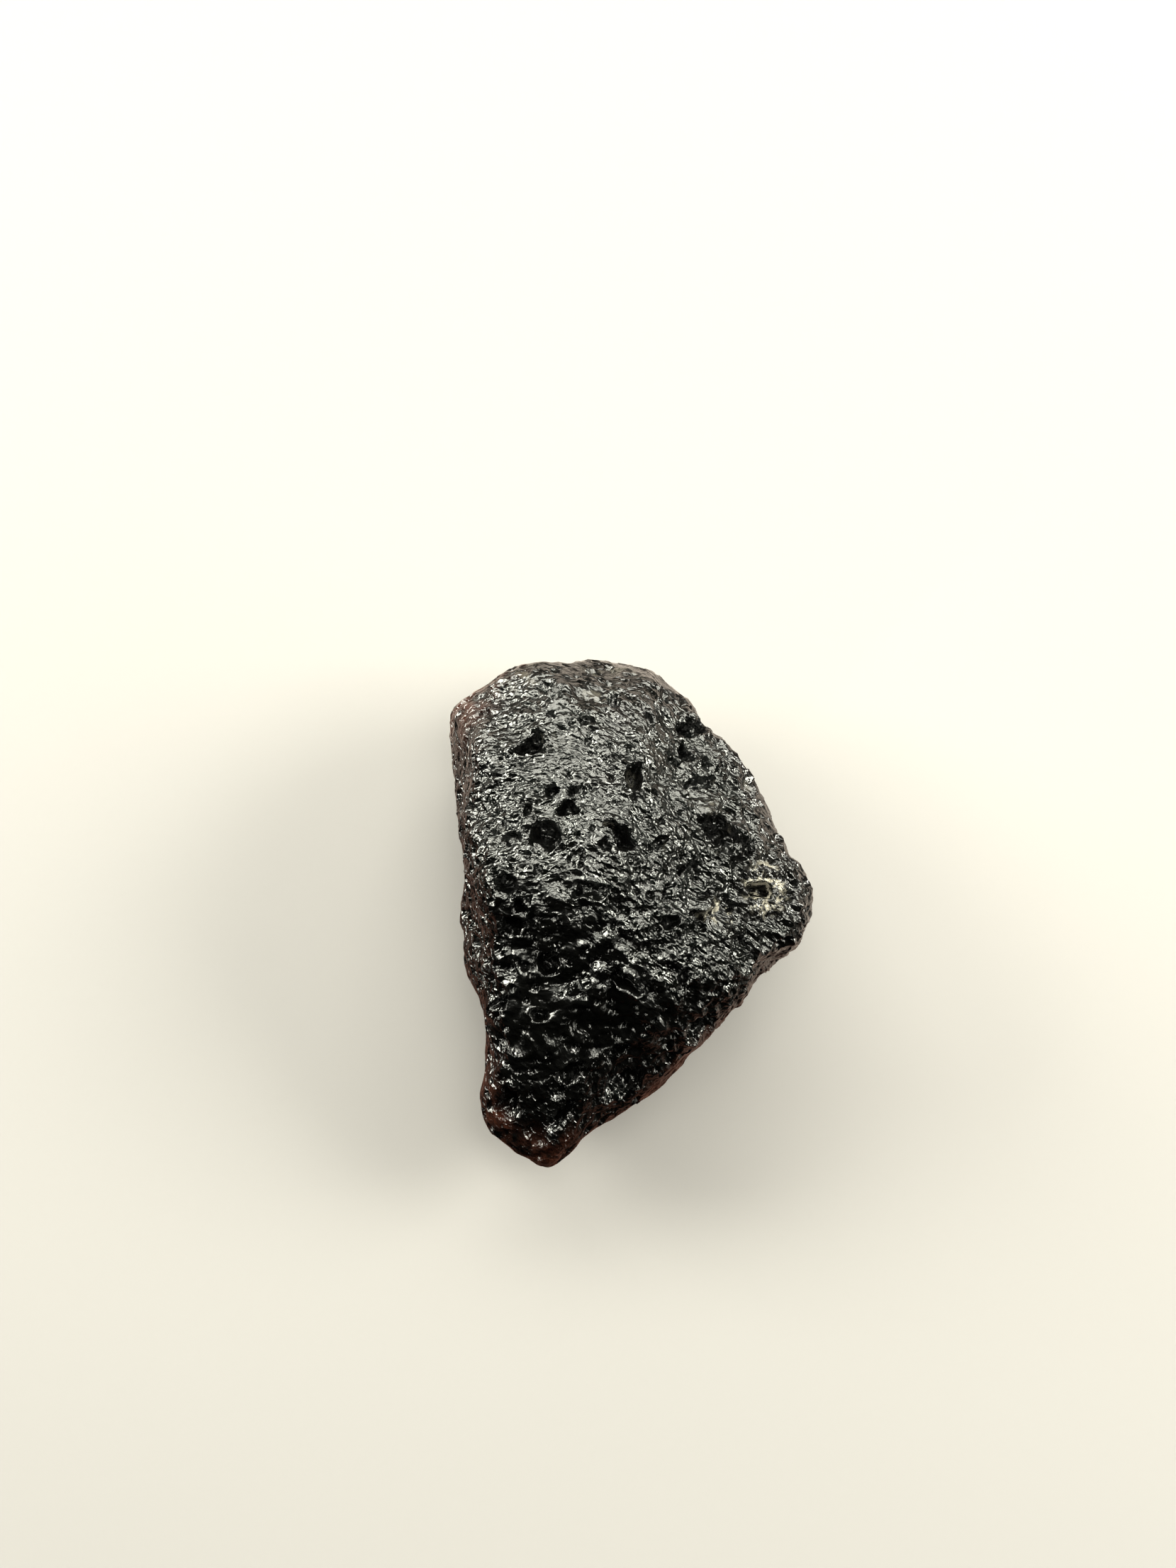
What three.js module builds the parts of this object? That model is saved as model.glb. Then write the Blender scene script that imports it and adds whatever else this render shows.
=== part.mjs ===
// A small black tektite: one solid piece of natural glass, lying on its flatter side.
// Millimetres, +Z up. The origin is on the flat resting spot, under the middle of the stone.
// +Y runs to the broad blunt end, -Y to the narrow tip, +X to the knob on the right flank.
import * as THREE from 'three';

// Driving dimensions
const MIDDLE_HEIGHT = 3.3;       // middle of the stone above its resting spot
const EDGE_SHARPNESS = 18;       // higher meets the flats in tighter edges
const SKIN_DIVISIONS = 21;       // how finely the skin is divided
const SKIN_STRETCH = [1.1, 1.3, 1];  // finer divisions toward the two ends
const SCOOP_COUNT = 230;         // shallow scoops spread over the whole skin
const SCOOP_RADIUS = [0.34, 0.66];
const SCOOP_DEPTH = [0.06, 0.17];
const SCOOP_LEVEL = 0.05;        // skin between the scoops, above the plain body
const RIM_HEIGHT = 0.10;         // raised lip of a hollow, as a share of its depth
const FULL_CORRECTION = 0.35;    // share of the outline's shape kept at the top and bottom

// The widest outline seen from above, counterclockwise from the knob.
const OUTLINE = [
  [4.68, 0.20], [4.36, 0.98], [4.13, 1.22], [3.92, 1.72], [3.40, 2.78], [2.82, 3.62],
  [2.00, 4.62], [1.20, 5.42], [0.45, 5.89], [-0.80, 6.10], [-1.45, 6.00], [-2.25, 6.09],
  [-2.90, 5.84], [-3.55, 5.37], [-4.10, 5.05], [-4.35, 4.50], [-4.18, 2.45], [-4.02, 1.20],
  [-4.07, -0.70], [-3.90, -1.75], [-3.58, -2.45], [-3.46, -3.30], [-3.44, -4.20],
  [-3.58, -4.85], [-3.48, -5.45], [-3.15, -5.98], [-2.45, -6.42], [-1.90, -6.63],
  [-1.28, -6.20], [-0.90, -5.78], [0.70, -4.78], [2.05, -3.40], [3.55, -1.75],
  [4.35, -1.00], [4.56, -0.55],
];

// The broad flats that meet around the stone: the way each faces (degrees around and
// above the horizontal) and a point it passes through, measured from the middle.
const FLATS = [
  { name: 'broad upper flat', around: 105, above: 72, through: [-1.6, 1.9, 3.20] },
  { name: 'blunt end slope', around: 85, above: 40, through: [-0.5, 5.0, 1.75] },
  { name: 'blunt end', around: 92, above: 3, through: [-0.8, 5.95, 0.0] },
  { name: 'left corner', around: 140, above: 42, through: [-3.2, 4.6, 1.55] },
  { name: 'right slope', around: 10, above: 62, through: [1.9, 1.2, 2.75] },
  { name: 'upper right slope', around: 40, above: 38, through: [2.5, 3.2, 1.30] },
  { name: 'right flank', around: 32, above: -2, through: [3.9, 1.9, 0.0] },
  { name: 'middle flat', around: 262, above: 71, through: [-2.0, 0.3, 3.50] },
  { name: 'long lower flat', around: 255, above: 53, through: [-2.0, -1.3, 2.90] },
  { name: 'lower right wall', around: 317, above: 5, through: [2.76, -2.59, 0.3] },
  { name: 'lower right facet', around: 290, above: 36, through: [0.45, -3.9, 1.10] },
  { name: 'left wall', around: 180, above: 6, through: [-4.00, 0.5, 1.3] },
  { name: 'left chamfer', around: 176, above: 38, through: [-3.58, 0.5, 3.13] },
  { name: 'low left wall', around: 190, above: 8, through: [-3.90, -1.0, 0.2] },
  { name: 'low left slope', around: 220, above: 40, through: [-3.40, -3.2, 0.8] },
  { name: 'toe', around: 285, above: 25, through: [-1.5, -6.4, 0.3] },
  { name: 'tip end', around: 258, above: -8, through: [-2.0, -6.6, -0.2] },
  { name: 'resting flat', around: 0, above: -90, through: [0, 0, -3.62] },
  { name: 'back right', around: 20, above: -44, through: [3.8, 0.5, -1.4] },
  { name: 'back of the blunt end', around: 100, above: -46, through: [-0.8, 5.2, -1.4] },
  { name: 'back left', around: 185, above: -50, through: [-3.6, 0.5, -1.7] },
  { name: 'back lower', around: 285, above: -48, through: [-0.8, -4.8, -2.1] },
  { name: 'back corner', around: 232, above: -34, through: [-3.0, -5.2, -1.3] },
];

// Hollows in the upper side: place, half length, half width, turn in degrees, depth.
const HOLLOWS = [
  [-2.42, 3.98, 0.46, 0.26, 20, 0.43],
  [0.18, 3.16, 0.33, 0.23, 90, 0.37],
  [-1.82, 2.86, 0.19, 0.15, 0, 0.30],
  [-1.40, 2.43, 0.24, 0.16, 10, 0.32],
  [-1.92, 1.82, 0.37, 0.25, 10, 0.35],
  [-0.15, 1.78, 0.50, 0.21, -35, 0.42],
  [1.78, 4.50, 0.32, 0.27, 0, 0.41],
  [1.52, 3.86, 0.24, 0.14, 90, 0.25],
  [1.92, 3.10, 0.32, 0.15, -20, 0.25],
  [2.41, 1.80, 0.48, 0.26, -40, 0.34],
  [3.08, 1.42, 0.22, 0.14, 80, 0.22],
  [3.28, 0.40, 0.29, 0.21, 0, 0.37],
  [-2.95, 0.62, 0.36, 0.27, 0, 0.31],
  [-2.78, -0.46, 0.34, 0.27, 0, 0.37],
  [-0.92, 0.44, 0.48, 0.22, -10, 0.23],
  [-1.92, -1.48, 0.32, 0.24, 90, 0.36],
  [0.00, -1.88, 0.37, 0.21, -30, 0.28],
  [1.43, -1.88, 0.24, 0.15, 70, 0.22],
  [1.78, -2.95, 0.47, 0.29, 45, 0.32],
  [-0.18, -3.55, 0.32, 0.16, 20, 0.23],
  [-0.05, -4.45, 0.58, 0.26, 40, 0.32],
  [-1.38, -4.20, 0.43, 0.22, 30, 0.25],
  [-2.93, -4.98, 0.50, 0.24, 90, 0.32],
  [-1.70, -5.36, 0.32, 0.16, 30, 0.20],
];

// Long folds in the upper side: their path, half width, and height (sunk when negative).
const FOLDS = [
  { name: 'right gully', path: [[1.57, 4.57], [1.39, 3.77], [1.12, 3.14], [1.35, 2.3]],
    halfWidth: 0.32, height: -0.16 },
  { name: 'right ridge', path: [[2.37, 3.77], [2.91, 2.52], [2.82, 1.71]],
    halfWidth: 0.34, height: 0.13 },
  { name: 'lower right ridge', path: [[4.2, -0.9], [2.28, -2.36], [0.33, -3.25], [-0.56, -3.70]],
    halfWidth: 0.30, height: 0.13 },
  { name: 'left edge', path: [[-2.9, 5.4], [-3.45, 4.21], [-3.84, 2.25], [-3.98, 0.93]],
    halfWidth: 0.28, height: 0.10 },
  { name: 'lower left valley', path: [[-2.5, -0.7], [-1.3, -2.1]],
    halfWidth: 0.95, height: -0.12 },
];

// Slow waves that keep the flats from being true: direction, waves per mm, height, start.
const WAVES = [
  [[0.8, 0.5, 0.3], 0.21, 0.09, 0.4],
  [[-0.4, 0.8, 0.5], 0.27, 0.08, 2.1],
  [[0.3, -0.5, 0.8], 0.34, 0.06, 4.0],
  [[0.7, 0.7, -0.2], 0.46, 0.05, 1.3],
  [[-0.8, 0.4, 0.4], 0.58, 0.04, 5.2],
];

const degrees = THREE.MathUtils.degToRad;

/** Unit vector that faces `around` the vertical and `above` the horizontal. */
function facing(around, above) {
  const flat = Math.cos(degrees(above));
  return new THREE.Vector3(
    flat * Math.cos(degrees(around)),
    flat * Math.sin(degrees(around)),
    Math.sin(degrees(above)),
  );
}

/** A repeatable number from 0 to 1 for each whole number. */
function chance(index) {
  const value = Math.sin(index * 12.9898) * 43758.5453;
  return value - Math.floor(value);
}

/** Between the two ends of a range. */
function within(range, share) {
  return range[0] + (range[1] - range[0]) * share;
}

const flats = FLATS.map(({ around, above, through }) => {
  const normal = facing(around, above);
  return { normal, distance: normal.dot(new THREE.Vector3(...through)) };
});

/** Height of the slow waves at a point. */
function waves(point) {
  let height = 0;
  for (const [along, perMm, size, start] of WAVES) {
    const travel = point.x * along[0] + point.y * along[1] + point.z * along[2];
    height += size * Math.sin(2 * Math.PI * perMm * travel + start);
  }
  return height;
}

/** Distance from the middle to the plain flats, which meet in soft edges and wave a little. */
function flatsReach(direction) {
  let total = 0;
  for (const { normal, distance } of flats) {
    const share = Math.max(direction.dot(normal), 0) / distance;
    total += share ** EDGE_SHARPNESS;
  }
  const reach = total ** (-1 / EDGE_SHARPNESS);
  return reach + waves(direction.clone().multiplyScalar(reach));
}

/** The smooth closed outline as a list of angle and distance, in order of angle. */
function outlineTable() {
  const corners = OUTLINE.map(([x, y]) => new THREE.Vector3(x, y, 0));
  const curve = new THREE.CatmullRomCurve3(corners, true, 'catmullrom', 0.5);
  return curve.getPoints(OUTLINE.length * 16)
    .slice(0, -1)
    .map((p) => [Math.atan2(p.y, p.x), Math.hypot(p.x, p.y)])
    .sort((a, b) => a[0] - b[0]);
}

/** How far the plain flats reach sideways at each angle, and the slope where they do. */
function flatsTable() {
  const table = [];
  for (let step = 0; step < 360; step += 1) {
    const around = step - 180;
    let best = [degrees(around), 0, 0];
    for (let above = -60; above <= 60; above += 1.5) {
      const sideways = flatsReach(facing(around, above)) * Math.cos(degrees(above));
      if (sideways > best[1]) best = [degrees(around), sideways, degrees(above)];
    }
    table.push(best);
  }
  return table;
}

/** Reads column `column` of a table at an angle, going round the full turn. */
function readTable(table, angle, column) {
  const turn = 2 * Math.PI;
  let next = table.findIndex((row) => row[0] > angle);
  if (next < 0) next = table.length;
  const before = table[(next + table.length - 1) % table.length];
  const after = table[next % table.length];
  const gap = (after[0] - before[0] + turn) % turn;
  const share = ((angle - before[0] + turn) % turn) / gap;
  return before[column] + (after[column] - before[column]) * share;
}

const outline = outlineTable();
const flatsWidest = flatsTable();

/** Point of the plain body: the flats, drawn in or out to the widest outline. */
function plainBody(direction) {
  const around = Math.atan2(direction.y, direction.x);
  const above = Math.asin(THREE.MathUtils.clamp(direction.z, -1, 1));
  const wanted = readTable(outline, around, 1) / readTable(flatsWidest, around, 1);
  const offset = (above - readTable(flatsWidest, around, 2)) / degrees(55);
  const keep = FULL_CORRECTION + (1 - FULL_CORRECTION) * Math.exp(-2.5 * offset * offset);
  const sideways = 1 + (wanted - 1) * keep;
  const point = direction.clone().multiplyScalar(flatsReach(direction));
  point.x *= sideways;
  point.y *= sideways;
  return point;
}

/** A steep bowl that is 1 deep at its middle and ends in a low lip at distance 1.2. */
function bowl(distance) {
  const inside = Math.max(1 - (distance / 1.1) ** 2, 0);
  const lip = Math.exp(-(((distance - 1.2) / 0.2) ** 2));
  return inside ** 0.9 - RIM_HEIGHT * lip;
}

/** Depth of the named hollows of the upper side at a point. */
function hollows(point) {
  let depth = 0;
  for (const [x, y, halfLength, halfWidth, turn, deep] of HOLLOWS) {
    const cos = Math.cos(degrees(turn));
    const sin = Math.sin(degrees(turn));
    const along = ((point.x - x) * cos + (point.y - y) * sin) / halfLength;
    const across = ((point.y - y) * cos - (point.x - x) * sin) / halfWidth;
    depth += deep * bowl(Math.hypot(along, across));
  }
  return depth;
}

/** Shortest distance in plan from a point to a path of straight pieces. */
function distanceToPath(point, path) {
  let nearest = Infinity;
  for (let i = 0; i + 1 < path.length; i += 1) {
    const [ax, ay] = path[i];
    const [bx, by] = path[i + 1];
    const length = (bx - ax) ** 2 + (by - ay) ** 2;
    const raw = ((point.x - ax) * (bx - ax) + (point.y - ay) * (by - ay)) / length;
    const share = THREE.MathUtils.clamp(raw, 0, 1);
    const distance = Math.hypot(point.x - ax - share * (bx - ax), point.y - ay - share * (by - ay));
    nearest = Math.min(nearest, distance);
  }
  return nearest;
}

/** Height of the long folds at a point. */
function folds(point) {
  let height = 0;
  for (const fold of FOLDS) {
    const share = distanceToPath(point, fold.path) / fold.halfWidth;
    height += fold.height * Math.exp(-share * share);
  }
  return height;
}

/** Middles, radii and depths of the shallow scoops, spread evenly in a spiral. */
function scoopSites() {
  const sites = [];
  for (let i = 0; i < SCOOP_COUNT; i += 1) {
    const rise = 1 - (2 * (i + 0.5)) / SCOOP_COUNT + 0.05 * (chance(i) - 0.5);
    const z = THREE.MathUtils.clamp(rise, -0.999, 0.999);
    const around = i * 2.399963 + 0.6 * (chance(i + 500) - 0.5);
    const flat = Math.sqrt(1 - z * z);
    const direction = new THREE.Vector3(flat * Math.cos(around), flat * Math.sin(around), z);
    sites.push({
      middle: plainBody(direction),
      radius: within(SCOOP_RADIUS, chance(i + 1000)),
      depth: within(SCOOP_DEPTH, chance(i + 1500)),
    });
  }
  return sites;
}

const scoops = scoopSites();

/** Depth of the shallow scoops at a point. */
function scooped(point) {
  let depth = 0;
  for (const { middle, radius, depth: deep } of scoops) {
    const share = point.distanceTo(middle) / radius;
    if (share < 1) depth = Math.max(depth, deep * (1 - share * share));
  }
  return depth;
}

/** Point of the finished skin in a direction from the middle of the stone. */
function skin(direction) {
  const plain = plainBody(direction);
  const outward = plain.clone().normalize();
  const upper = THREE.MathUtils.clamp((outward.z - 0.05) / 0.25, 0, 1);
  const marks = upper * (folds(plain) - hollows(plain));
  const rise = SCOOP_LEVEL - scooped(plain) + marks;
  const point = plain.addScaledVector(outward, rise);
  if (point.z < -MIDDLE_HEIGHT) point.multiplyScalar(-MIDDLE_HEIGHT / point.z);
  point.z += MIDDLE_HEIGHT;
  return point;
}

/** The closed faceted skin of the whole stone. */
function stoneGeometry() {
  const geometry = new THREE.IcosahedronGeometry(1, SKIN_DIVISIONS);
  const places = geometry.getAttribute('position');
  const stretch = new THREE.Vector3(...SKIN_STRETCH);
  const direction = new THREE.Vector3();
  for (let i = 0; i < places.count; i += 1) {
    direction.fromBufferAttribute(places, i).multiply(stretch).normalize();
    const point = skin(direction);
    places.setXYZ(i, point.x, point.y, point.z);
  }
  geometry.deleteAttribute('uv');
  geometry.computeVertexNormals();
  return geometry;
}

/** The tektite as one named piece. */
function buildTektite() {
  const blackGlass = new THREE.MeshStandardMaterial({ color: 0x11110f, roughness: 0.3, metalness: 0 });
  const stone = new THREE.Mesh(stoneGeometry(), blackGlass);
  stone.name = 'tektite';
  const group = new THREE.Group();
  group.name = 'tektite_stone';
  group.add(stone);
  return group;
}

export default buildTektite();
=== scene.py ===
"""A small black tektite: one piece of natural glass that lies on its flatter side.

Metres, Z up. Sizes of the stone are given in millimetres and turned to metres at the end.
"""
import logging
import math
from collections.abc import Callable
from dataclasses import dataclass
from enum import Enum, IntEnum
from itertools import product

import bpy
import numpy as np
from bpy.types import Material, Node, NodeTree, Object
from bpy.types import NodeSocket as Socket
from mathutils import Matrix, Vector


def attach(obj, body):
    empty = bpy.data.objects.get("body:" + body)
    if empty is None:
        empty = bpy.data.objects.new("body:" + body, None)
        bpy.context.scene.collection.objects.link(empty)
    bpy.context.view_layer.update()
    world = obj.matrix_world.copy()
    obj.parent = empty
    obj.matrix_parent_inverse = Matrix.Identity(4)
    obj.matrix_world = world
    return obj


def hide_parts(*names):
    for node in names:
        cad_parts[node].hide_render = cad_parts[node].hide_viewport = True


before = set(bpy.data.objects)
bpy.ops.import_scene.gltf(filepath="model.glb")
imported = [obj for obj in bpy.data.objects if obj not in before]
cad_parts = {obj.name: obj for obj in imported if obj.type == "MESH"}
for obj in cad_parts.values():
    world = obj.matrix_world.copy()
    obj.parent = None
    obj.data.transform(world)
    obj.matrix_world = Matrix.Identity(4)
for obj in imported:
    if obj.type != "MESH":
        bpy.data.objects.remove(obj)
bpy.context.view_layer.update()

MM = 0.001
TURN = 2.0 * math.pi
GOLDEN_TURN = 2.399963
LOG = logging.getLogger("tektite")

Pair = tuple[float, float]
Point = tuple[float, float, float]
Colour = tuple[float, float, float, float]
Values = dict[str | int, object]
Array = np.ndarray


# ---- repeatable noise


class Seed(IntEnum):
    """The repeatable pattern that each kind of mark is read from."""

    SCALLOP_BEND = 50
    LINE_BEND = 60
    EDGE_BEND = 70
    FINE_EDGE_BEND = 75
    LIP = 78
    KNOB_BEND = 80
    BUBBLES = 100
    PINS = 200
    CRESTS = 400
    SCALLOPS = 520
    KNOBS = 540
    LUMPS = 700


def lattice_chance(cells: Array, seed: int) -> Array:
    """A repeatable number from 0 to 1 for each cell of a grid.

    A cell's numbers and the seed are multiplied by large odd numbers, added and stirred.

    Args:
        cells: three whole numbers per row.
        seed: picks one of many such patterns.

    Returns:
        One number per cell.
    """
    mask = 0xFFFFFFFF
    value = cells @ np.array([374761393, 668265263, 1442695041])
    value = (value + seed * 1274126177) & mask
    value = ((value ^ (value >> 13)) * 1274126177) & mask
    value = ((value ^ (value >> 15)) * 2246822519) & mask
    return ((value ^ (value >> 16)) & 0xFFFFFF) / float(1 << 24)


def soft_noise(points: Array, seed: int) -> Array:
    """Smooth noise from -1 to 1 that changes over a distance of one.

    The eight corner values of the unit cube round a point are blended with the
    fifth-degree ease 6t^5 - 15t^4 + 10t^3 along each axis.

    Args:
        points: places, one row each.
        seed: picks the pattern.

    Returns:
        One value per point.
    """
    cell = np.floor(points).astype(np.int64)
    t = points - cell
    ease = t * t * t * (t * (t * 6.0 - 15.0) + 10.0)
    total = np.zeros(len(points))
    for corner in product((0, 1), repeat=3):
        x, y, z = (ease[:, k] if far else 1.0 - ease[:, k] for k, far in enumerate(corner))
        total += x * y * z * lattice_chance(cell + corner, seed)
    return 2.0 * total - 1.0


def crest_noise(points: Array, seed: int) -> Array:
    """Noise with sharp crests: one less 1.7 times the size of the soft noise."""
    return 1.0 - np.abs(1.7 * soft_noise(points, seed))


def two_layers(
    noise: Callable[[Array, int], Array],
    points: Array,
    growth: float,
    shift: float,
    seed: int,
) -> Array:
    """A noise and a finer one of half its height, over their joint height.

    Args:
        noise: gives one value per point for a seed.
        points: places, one row each.
        growth: how much finer the second layer is.
        shift: moves the second layer off the first.
        seed: picks the pattern.

    Returns:
        One value per point.
    """
    return (noise(points, seed) + 0.5 * noise(points * growth + shift, seed + 1)) / 1.5


def drift(points: Array, per_mm: float, reach: float, seed: int) -> Array:
    """Moves points by up to `reach` along each axis with soft noise, to bend a pattern.

    Args:
        points: places in mm.
        per_mm: how quickly the bend changes.
        reach: largest move in mm.
        seed: picks the pattern.

    Returns:
        The moved points.
    """
    moves = [soft_noise(points * per_mm, seed + axis) for axis in range(3)]
    return points + reach * np.stack(moves, axis=-1)


def nearest_seed(points: Array, seed: int) -> tuple[Array, Array]:
    """Distance to the nearest scattered seed, with one seed in each unit cube.

    Args:
        points: places, one row each.
        seed: picks the pattern.

    Returns:
        The distance to the nearest seed, and that seed's own number from 0 to 1.
    """
    cell = np.floor(points).astype(np.int64)
    best = np.full(len(points), 9.0)
    own = np.zeros(len(points))
    for step in product((-1, 0, 1), repeat=3):
        cube = cell + step
        shifts = [lattice_chance(cube, seed + axis) for axis in range(3)]
        distance = np.linalg.norm(points - (cube + np.stack(shifts, axis=-1)), axis=1)
        nearer = distance < best
        own = np.where(nearer, lattice_chance(cube, seed + 3), own)
        best = np.where(nearer, distance, best)
    return best, own


def between(ends: Pair, share: Array) -> Array:
    """Numbers that lie the given shares of the way from the first end to the second."""
    return ends[0] + (ends[1] - ends[0]) * share


def unit(vectors: Array) -> Array:
    """The vectors drawn to a length of one."""
    return vectors / np.linalg.norm(vectors, axis=1, keepdims=True)


def turned(points: Array, degrees: float) -> tuple[Array, Array]:
    """How far points lie in plan along and across a direction turned from +X."""
    cos, sin = math.cos(math.radians(degrees)), math.sin(math.radians(degrees))
    x, y = points[:, 0], points[:, 1]
    return x * cos + y * sin, y * cos - x * sin


# ---- the plain body


@dataclass(frozen=True)
class Flat:
    """One broad flat of the stone.

    Attributes:
        around: direction it faces round the vertical, in degrees.
        above: direction it faces above the horizontal, in degrees.
        through: a point it passes through, in mm from the middle of the stone.
    """

    around: float
    above: float
    through: Point

    def normal(self) -> Array:
        """Unit vector square to the flat."""
        a, e = math.radians(self.around), math.radians(self.above)
        return np.array([math.cos(e) * math.cos(a), math.cos(e) * math.sin(a), math.sin(e)])

    def distance(self) -> float:
        """Distance of the flat from the middle of the stone."""
        return float(self.normal() @ np.array(self.through))


@dataclass(frozen=True)
class Wave:
    """One slow wave of the skin: its travel, waves per mm, height in mm and start."""

    along: Point
    per_mm: float
    height: float
    start: float


@dataclass(frozen=True)
class Hollow:
    """A hollow of the upper side: place, half length, half width, turn in degrees, depth."""

    x: float
    y: float
    half_length: float
    half_width: float
    turn: float
    depth: float


@dataclass(frozen=True)
class Fold:
    """A long fold of the upper side: path in plan, half width, and height in mm."""

    path: tuple[Pair, ...]
    half_width: float
    height: float


FLATS = (
    Flat(105, 72, (-1.6, 1.9, 3.20)),
    Flat(85, 40, (-0.5, 5.0, 1.75)),
    Flat(92, 3, (-0.8, 5.95, 0.0)),
    Flat(140, 42, (-3.2, 4.6, 1.55)),
    Flat(10, 62, (1.9, 1.2, 2.75)),
    Flat(40, 38, (2.5, 3.2, 1.30)),
    Flat(32, -2, (3.9, 1.9, 0.0)),
    Flat(262, 71, (-2.0, 0.3, 3.50)),
    Flat(255, 53, (-2.0, -1.3, 2.90)),
    Flat(317, 5, (2.76, -2.59, 0.3)),
    Flat(290, 36, (0.45, -3.9, 1.10)),
    Flat(180, 6, (-4.00, 0.5, 1.3)),
    Flat(176, 38, (-3.58, 0.5, 3.13)),
    Flat(190, 8, (-3.90, -1.0, 0.2)),
    Flat(220, 40, (-3.40, -3.2, 0.8)),
    Flat(285, 25, (-1.5, -6.4, 0.3)),
    Flat(258, -8, (-2.0, -6.6, -0.2)),
    Flat(0, -90, (0.0, 0.0, -3.62)),
    Flat(20, -44, (3.8, 0.5, -1.4)),
    Flat(100, -46, (-0.8, 5.2, -1.4)),
    Flat(185, -50, (-3.6, 0.5, -1.7)),
    Flat(285, -48, (-0.8, -4.8, -2.1)),
    Flat(232, -34, (-3.0, -5.2, -1.3)),
)

OUTLINE = (
    (4.68, 0.20), (4.36, 0.98), (4.13, 1.22), (3.92, 1.72), (3.40, 2.78), (2.82, 3.62),
    (2.00, 4.62), (1.20, 5.42), (0.45, 5.89), (-0.80, 6.10), (-1.45, 6.00), (-2.25, 6.09),
    (-2.90, 5.84), (-3.55, 5.37), (-4.10, 5.05), (-4.35, 4.50), (-4.18, 2.45), (-4.02, 1.20),
    (-4.07, -0.70), (-3.90, -1.75), (-3.58, -2.45), (-3.46, -3.30), (-3.44, -4.20),
    (-3.58, -4.85), (-3.48, -5.45), (-3.15, -5.98), (-2.45, -6.42), (-1.90, -6.63),
    (-1.28, -6.20), (-0.90, -5.78), (0.70, -4.78), (2.05, -3.40), (3.55, -1.75),
    (4.35, -1.00), (4.56, -0.55),
)

WAVES = (
    Wave((0.8, 0.5, 0.3), 0.21, 0.09, 0.4),
    Wave((-0.4, 0.8, 0.5), 0.27, 0.08, 2.1),
    Wave((0.3, -0.5, 0.8), 0.34, 0.06, 4.0),
    Wave((0.7, 0.7, -0.2), 0.46, 0.05, 1.3),
    Wave((-0.8, 0.4, 0.4), 0.58, 0.04, 5.2),
)

HOLLOWS = tuple(Hollow(*sizes) for sizes in (
    (-2.42, 3.98, 0.46, 0.26, 20, 0.72), (0.18, 3.16, 0.33, 0.23, 90, 0.62),
    (-1.82, 2.86, 0.19, 0.15, 0, 0.5), (-1.4, 2.43, 0.24, 0.16, 10, 0.54),
    (-1.92, 1.82, 0.37, 0.25, 10, 0.58), (-0.15, 1.78, 0.5, 0.21, -35, 0.7),
    (1.78, 4.5, 0.32, 0.27, 0, 0.7), (1.52, 3.86, 0.24, 0.14, 90, 0.42),
    (1.92, 3.1, 0.32, 0.15, -20, 0.42), (2.41, 1.8, 0.48, 0.26, -40, 0.56),
    (2.75, 1.18, 0.2, 0.14, 50, 0.34), (3.08, 1.42, 0.22, 0.14, 80, 0.36),
    (3.28, 0.4, 0.29, 0.21, 0, 0.62), (-2.95, 0.62, 0.36, 0.27, 0, 0.52),
    (-2.78, -0.46, 0.34, 0.27, 0, 0.62), (-0.92, 0.44, 0.48, 0.22, -10, 0.38),
    (-1.92, -1.48, 0.32, 0.24, 90, 0.6), (0.0, -1.88, 0.37, 0.21, -30, 0.46),
    (1.43, -1.88, 0.24, 0.15, 70, 0.36), (1.78, -2.95, 0.47, 0.29, 45, 0.54),
    (-0.18, -3.55, 0.32, 0.16, 20, 0.38), (-0.05, -4.45, 0.58, 0.26, 40, 0.54),
    (-1.38, -4.2, 0.43, 0.22, 30, 0.42), (-2.93, -4.98, 0.5, 0.24, 90, 0.54),
    (-1.7, -5.36, 0.32, 0.16, 30, 0.34), (-1.16, 2.83, 0.26, 0.13, 0, 0.22),
    (-2.38, 2.36, 0.14, 0.12, 0, 0.32), (-2.77, 1.66, 0.26, 0.11, 10, 0.28),
    (-0.52, 1.42, 0.2, 0.12, -30, 0.3), (0.84, 1.58, 0.2, 0.11, 0, 0.24),
    (1.34, 0.95, 0.17, 0.1, 80, 0.24), (1.82, -0.18, 0.19, 0.15, 0, 0.4),
    (1.02, -0.38, 0.22, 0.14, 20, 0.38), (4.0, 0.27, 0.18, 0.13, 60, 0.26),
    (3.03, -1.28, 0.14, 0.12, 0, 0.26), (-0.95, 4.6, 0.26, 0.12, 0, 0.3),
    (-3.57, 4.68, 0.24, 0.11, 30, 0.3), (-0.2, 5.1, 0.2, 0.12, 10, 0.28),
    (0.6, 4.6, 0.18, 0.13, -20, 0.3), (-1.75, 5.25, 0.17, 0.11, 0, 0.26),
    (-3.05, -2.42, 0.24, 0.17, 20, 0.36), (-2.08, -2.68, 0.26, 0.16, -10, 0.36),
))

FOLDS = (
    Fold(((1.57, 4.57), (1.39, 3.77), (1.12, 3.14), (1.35, 2.3)), 0.32, -0.16),
    Fold(((2.37, 3.77), (2.91, 2.52), (2.82, 1.71)), 0.34, 0.13),
    Fold(((4.2, -0.9), (2.28, -2.36), (0.33, -3.25), (-0.56, -3.70)), 0.30, 0.13),
    Fold(((-2.9, 5.4), (-3.45, 4.21), (-3.84, 2.25), (-3.98, 0.93)), 0.28, 0.10),
    Fold(((-2.5, -0.7), (-1.3, -2.1)), 0.95, -0.12),
    Fold(((1.20, 3.64), (1.75, 2.95), (1.80, 2.10), (2.34, 1.70), (2.75, 1.21)), 0.15, -0.17),
    Fold(((2.60, 3.05), (2.86, 2.59), (3.07, 2.02), (3.14, 1.38)), 0.12, -0.15),
)


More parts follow.
